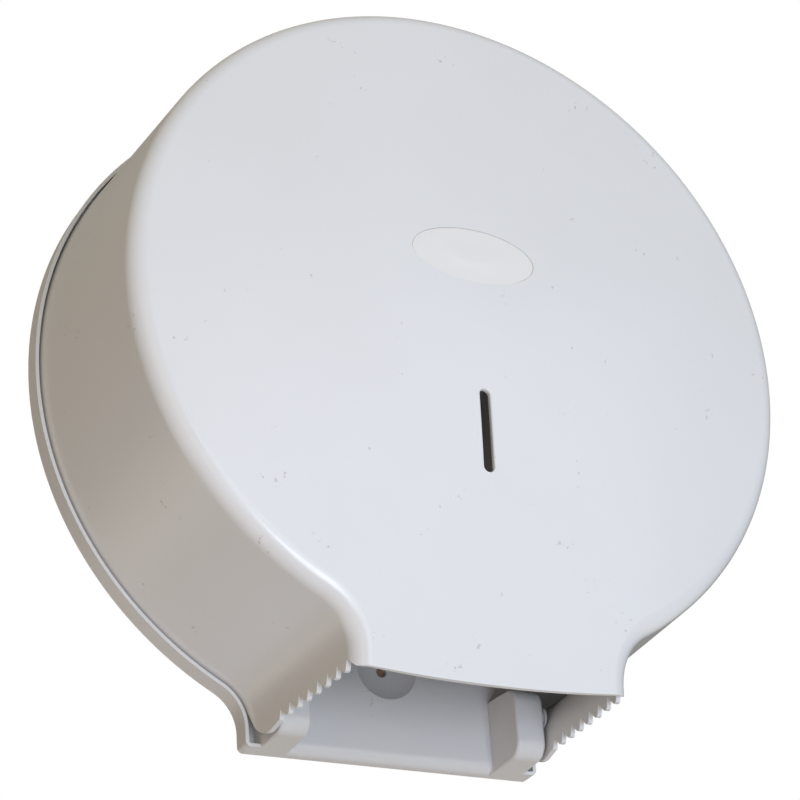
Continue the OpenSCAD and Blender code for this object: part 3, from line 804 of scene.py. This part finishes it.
# %% [markdown]
# ## Hinge cheeks
# Each cheek is a hollow block with two round front corners and soft upright edges. The side view is drawn
# with the pen, and the bevel operator rounds the edges along its front. The room inside a cheek is the same
# form, drawn smaller by the wall, so one function makes both.

# %% Cheeks
CHEEK_STEPS, CHEEK_SEGMENTS, PAST_CURVE = 12, 6, 0.5


def cheek(name, inset, rear, side):
    """A cheek, or the room inside one, drawn inset from its outer faces."""
    r, low, face, top = CHEEK_ROUND - inset, -NECK_DROP + inset, -CHEEK_DEPTH + inset, CHEEK_TOP - inset
    side_view = [
        (face + r, low), (face + r, low + r, -90, CHEEK_STEPS), (face, top - r),
        (face + r, top - r, -90, CHEEK_STEPS), (rear, top), (rear, low)]
    form = bar(name, (rear, low), side_view, CHEEK_IN + inset, CHEEK_OUT - inset, "X")
    bm = bmesh.new()
    bm.from_mesh(form.data)
    # The side view's own edges, on both side faces, as far back as the ends of the round corners
    along_front = [e for e in bm.edges if abs(e.verts[0].co.x - e.verts[1].co.x) < WELD
                   and max(v.co.y for v in e.verts) < face + r + PAST_CURVE]
    bmesh.ops.bevel(
        bm, geom=along_front, offset=CHEEK_EDGE - inset / 2, offset_type="OFFSET", segments=CHEEK_SEGMENTS,
        profile=0.5, affect="EDGES", material=-1, clamp_overlap=True)
    if side < 0:
        bmesh.ops.scale(bm, verts=bm.verts, vec=(-1, 1, 1))
        bmesh.ops.recalc_face_normals(bm, faces=bm.faces)
    bm.to_mesh(form.data)
    bm.free()
    return form


for side in (-1, 1):
    combine(plate, [cheek("cheek", 0, 0, side)], "UNION")
print("with cheeks:", len(plate.data.polygons), "faces")

# %% [markdown]
# ## The panel's lower edge
# Between the cheeks the panel's lower edge is rounded, so that the paper can't catch on it. The tool is a bar
# along X: a square corner with the quarter circle left out.

# %% Round the panel's edge
PANEL_EDGE_R, PANEL_EDGE_STEPS = 5.5, 12
EDGE_Y, EDGE_Z = PANEL_DEPTH - PANEL_EDGE_R, NECK_DROP - PANEL_EDGE_R

edge_tool = bar("panel_edge_tool", (-PANEL_DEPTH - OVER, -NECK_DROP - OVER), [
    (-PANEL_DEPTH - OVER, -EDGE_Z), (-PANEL_DEPTH, -EDGE_Z), (-EDGE_Y, -EDGE_Z, 90, PANEL_EDGE_STEPS),
    (-EDGE_Y, -NECK_DROP - OVER), (-PANEL_DEPTH - OVER, -NECK_DROP - OVER)], -CHEEK_IN, CHEEK_IN, "X")
combine(plate, [edge_tool])
print("panel edge rounded:", len(plate.data.polygons), "faces")

# %% [markdown]
# ## The hollow back
# The back of the plate is hollow between ribs, as a moulding with even walls is: thick places sink in as they
# cool. The ribs and bosses are taken out of the hollow's form before it cuts the plate, and so they stay.

# %% Hollow the back
DISH_R, DISH_FLOOR, HOLE_R, WALL_CIRCLE_R = 14.8, 1.8, 2.5, 125.5
FLANGE_R, FLANGE_CIRCLE_R, BOSS_R, STRIKE_X = 33.0, 25, 5.0, 14.8
RIBS, RIB_HALF, RIB_ROOT, RIB_FRONT, RIB_REAR = 12, 1, 2, -6, 2


def on_circle(radius, angles):
    """Points on a circle round the roll axis, at angles from straight up."""
    return [(radius * math.sin(math.radians(a)), radius * math.cos(math.radians(a))) for a in angles]


wall_points = on_circle(WALL_CIRCLE_R, (60, 180, 300))
flange_points = on_circle(FLANGE_CIRCLE_R, (45, 135, 225, 315))
strike_points = [(STRIKE_X, 118.0), (STRIKE_X, 129.0)]

hollow = bar("hollow", *keyhole(PANEL_INSET + SKIN, NECK_DROP - SKIN), -(PANEL_DEPTH - SKIN), OVER)
ribs = [rod("dish_boss", p, DISH_R + SKIN, RIB_FRONT, RIB_REAR) for p in wall_points]
ribs += [rod("strike_boss", p, BOSS_R, RIB_FRONT, RIB_REAR) for p in strike_points]
ribs += [rod("flange_boss", (0, 0), FLANGE_R, RIB_FRONT, RIB_REAR)]
for i in range(RIBS):
    rib = block("rib", (FLANGE_R - RIB_ROOT, RIB_FRONT, -RIB_HALF), (FLANGE_R + DISC_R, RIB_REAR, RIB_HALF))
    rib.data.transform(Matrix.Rotation(math.radians(360 / RIBS * i), 4, "Y"))
    ribs.append(rib)
combine(hollow, ribs)
combine(plate, [hollow])
print("back hollowed:", len(plate.data.polygons), "faces")

# %% [markdown]
# ## Peg bores, screw dishes and holes
# Each cheek is hollow too, with a tube left inside for the hinge peg. Three shallow bowls take the heads of
# the wall screws. A bowl is part of a large ball, whose radius follows from the bowl's width and depth.

# %% Bores, dishes and holes
PEG_R, PEG_GAP, PEG_DEEP, HOLE_FRONT = 3.5, 0.05, 10.5, -8
PILOT_R, PILOT_FRONT, PILOT_REAR = 1.5, -8.3, -1
BALL_STEPS, HOLE_STEPS, PILOT_STEPS = 96, 40, 24
dish_sag = PANEL_DEPTH - DISH_FLOOR
ball_r = (DISH_R ** 2 + dish_sag ** 2) / (2 * dish_sag)


def ball(name, centre, radius):
    """A ball about a point."""
    bm = bmesh.new()
    bmesh.ops.create_uvsphere(bm, u_segments=BALL_STEPS, v_segments=BALL_STEPS // 2, radius=radius)
    bmesh.ops.rotate(bm, verts=bm.verts, cent=(0, 0, 0), matrix=Matrix.Rotation(math.radians(90), 3, "X"))
    bmesh.ops.translate(bm, verts=bm.verts, vec=centre)
    return to_object(bm, name)


for side in (-1, 1):
    room = cheek("cheek_room", SKIN, OVER, side)
    combine(room, [hinge_rod("tube", PEG_R + SKIN, side * CHEEK_IN, side * CHEEK_OUT)])
    inner, outer = side * (CHEEK_OUT - PEG_DEEP), side * (CHEEK_OUT + OVER)
    combine(plate, [room, hinge_rod("peg_bore", PEG_R + PEG_GAP, inner, outer)])
for x, z in wall_points:
    dish = ball("dish", (x, -DISH_FLOOR - ball_r, z), ball_r)
    hole = rod("hole", (x, z), HOLE_R, HOLE_FRONT, OVER, steps=HOLE_STEPS)
    combine(plate, [dish, hole])
pilots = [rod("pilot", p, PILOT_R, PILOT_FRONT, PILOT_REAR, steps=PILOT_STEPS)
          for p in flange_points + strike_points]
combine(plate, pilots)
print(f"dishes from balls of {ball_r:.1f} mm radius")

# %% [markdown]
# ## Shading the plate
# As on the dome, the cuts would leave streaks on the flat panel and on its rounded lower edge. A flat has one
# normal, and the round edge's normals point away from its axis, so both are given exactly.

# %% Finish the back plate
FLAT, NEAR = -0.9999, 0.02


def plate_normal(face, place):
    """Exact normals on the panel's flats and on its rounded lower edge, or None to keep the shading's own."""
    reach = Vector((0, place.y + EDGE_Y, place.z + EDGE_Z))
    between_cheeks = abs(place.x) < CHEEK_IN + WELD and place.z < WELD - EDGE_Z
    if between_cheeks and abs(reach.length - PANEL_EDGE_R) < NEAR:
        return reach.normalized()
    if face.normal.y < FLAT:
        return face.normal.copy()
    return None


finish_piece(plate, plate_white, "wall_unit", "back_plate", true_normal=plate_normal)

# %% [markdown]
# ## Small parts
# The hub, the lock and the fixings are already right in the CAD model, so each is a copy of its node. The
# copy's loose triangles are merged, its flat faces joined and its edges broken, which is what catches light
# on a real part.

# %% Hub, lock and fixings
# Each line: the node, its finish, its body, its slot, and the width of its broken edges
SMALL_PARTS = [
    ("spindle", hub_grey, "wall_unit", "hub_plastic", 0.3),
    ("spindle_screws", zinc, "wall_unit", "pressed_steel", 0.3),
    ("hub_washer", zinc, "wall_unit", "pressed_steel", 0.2),
    ("hub_cap", hub_grey, "wall_unit", "hub_plastic", 0.5),
    ("hub_cap_screw", zinc, "wall_unit", "pressed_steel", 0.2),
    ("strike_bracket", zinc, "wall_unit", "pressed_steel", 0.3),
    ("strike_screws", zinc, "wall_unit", "pressed_steel", 0.3),
    ("hub_bush", nylon, "hub", "bush_plastic", 0.2),
    ("core_hub", hub_grey, "hub", "hub_plastic", 0.4),
    ("core_sleeve", hub_grey, "hub", "hub_plastic", 0.4),
    ("pivot_stud_left", hub_grey, "cover", "hub_plastic", 0.2),
    ("pivot_stud_right", hub_grey, "cover", "hub_plastic", 0.2),
    ("lock_housing", chrome, "cover", "lock_metal", 0.3),
    ("lock_nut", zinc, "cover", "pressed_steel", 0.3),
    ("lock_plug", chrome, "lock", "lock_metal", 0.2),
    ("lock_washer", zinc, "lock", "pressed_steel", 0.1),
    ("lock_cam", zinc, "lock", "pressed_steel", 0.3),
    ("lock_cam_screw", zinc, "lock", "pressed_steel", 0.3),
]
MERGE_WITHIN, FLAT_WITHIN = 0.001, math.radians(0.5)


def dressed_copy(node):
    """A merged copy of a CAD node, in millimetres."""
    bm = bmesh.new()
    bm.from_mesh(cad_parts[node].data)
    bmesh.ops.scale(bm, verts=bm.verts, vec=(1 / MM, 1 / MM, 1 / MM))
    bmesh.ops.remove_doubles(bm, verts=bm.verts, dist=MERGE_WITHIN)
    bmesh.ops.dissolve_limit(bm, angle_limit=FLAT_WITHIN, verts=bm.verts, edges=bm.edges)
    return to_object(bm, node + "_part")


for node, material, body, slot, width in SMALL_PARTS:
    finish_piece(dressed_copy(node), material, body, node, width)

# %% [markdown]
# ## Floor and wall
# The floor lies well below, because the dispenser hangs on a wall. Of that wall only a tan spot shows,
# through the lowest screw hole, so a small disc behind the hole is enough. Neither belongs to the object.

# %% Floor and wall spot
FLOOR_Z, FLOOR_SIZE = -2.6, 6
SPOT_R, SPOT_FRONT, SPOT_REAR, SPOT_STEPS = 4, 0.2, 1.2, 24

bm = bmesh.new()
bmesh.ops.create_grid(bm, x_segments=8, y_segments=8, size=FLOOR_SIZE)
bmesh.ops.translate(bm, verts=bm.verts, vec=(0, 0, FLOOR_Z))
floor = to_object(bm, "floor")
floor.data.materials.append(finish("floor_pale", (0.9, 0.9, 0.9), (0.87, 0.87, 0.87), 0.8, amount=0))

lowest_hole = min(wall_points, key=lambda p: p[1])
wall_spot = rod("wall_spot", lowest_hole, SPOT_R, SPOT_FRONT, SPOT_REAR, steps=SPOT_STEPS)
wall_spot.data.transform(Matrix.Scale(MM, 4))
wall_spot.data.materials.append(finish("wall_tan", (0.33, 0.22, 0.13), (0.29, 0.2, 0.12), 0.8, amount=0))
print("floor at", FLOOR_Z, "m")

# %% [markdown]
# ## Soft boxes
# The photograph is a cut-out on white. Cool soft lights stand in front of it, most of them low, and two warm
# ones stand on the left, which give the sides their beige. Their powers were found by rendering each light
# alone and weighing the results against colours measured in the photograph.

# %% Lights
def softbox(name, place, size, power, colour):
    """A square area light that faces the dispenser."""
    lamp = bpy.data.lights.new(name, "AREA")
    lamp.size = size
    lamp.energy = power
    lamp.color = colour
    light = bpy.data.objects.new(name, lamp)
    light.location = place
    light.rotation_euler = (-Vector(place)).to_track_quat("-Z", "Y").to_euler()
    bpy.context.scene.collection.objects.link(light)


softbox("key", (0.9, -2.3, 0.5), 1.5, 8.2, (0.84, 0.87, 1.0))
softbox("front", (0, -2.6, 0), 1.2, 9.6, (0.74, 0.85, 1.0))
softbox("front_low", (-0.1, -2.3, -1.0), 1.0, 26.1, (0.74, 0.825, 1.0))
softbox("warm_low", (-1.6, -0.5, -1.5), 1.2, 2.1, (1.0, 0.3, 0.1))
softbox("left_warm", (-1.7, -1.9, 0.2), 1.2, 4.2, (1.0, 0.62, 0.05))

# %% [markdown]
# ## The white room
# The room adds soft light from above and, more of it, from below. It is strongest straight up and down and
# fades towards the horizon, as between a bright ceiling and a bright floor. The camera itself sees plain
# white, as in the photograph.

# %% World
LIGHT_ABOVE, LIGHT_BELOW, WHITE = (0.54, 0.5, 0.45, 1), (3.2, 3.1, 2.6, 1), (1, 1, 1, 1)

world = bpy.data.worlds.new("white_room")
world.use_nodes = True
bpy.context.scene.world = world
sky = world.node_tree
way = add(sky, "ShaderNodeTexCoord").outputs["Generated"]
height = add(sky, "ShaderNodeSeparateXYZ", [("Vector", way)]).outputs["Z"]
tone = mix(sky, maths(sky, "GREATER_THAN", height), LIGHT_BELOW, LIGHT_ABOVE)
steep = maths(sky, "ABSOLUTE", height)
glow = add(sky, "ShaderNodeVectorMath", [(0, tone), ("Scale", steep)], operation="SCALE").outputs[0]
seen = mix(sky, add(sky, "ShaderNodeLightPath").outputs["Is Camera Ray"], glow, WHITE)
sky.links.new(seen, sky.nodes["Background"].inputs["Color"])
print("room with", len(sky.nodes), "nodes")
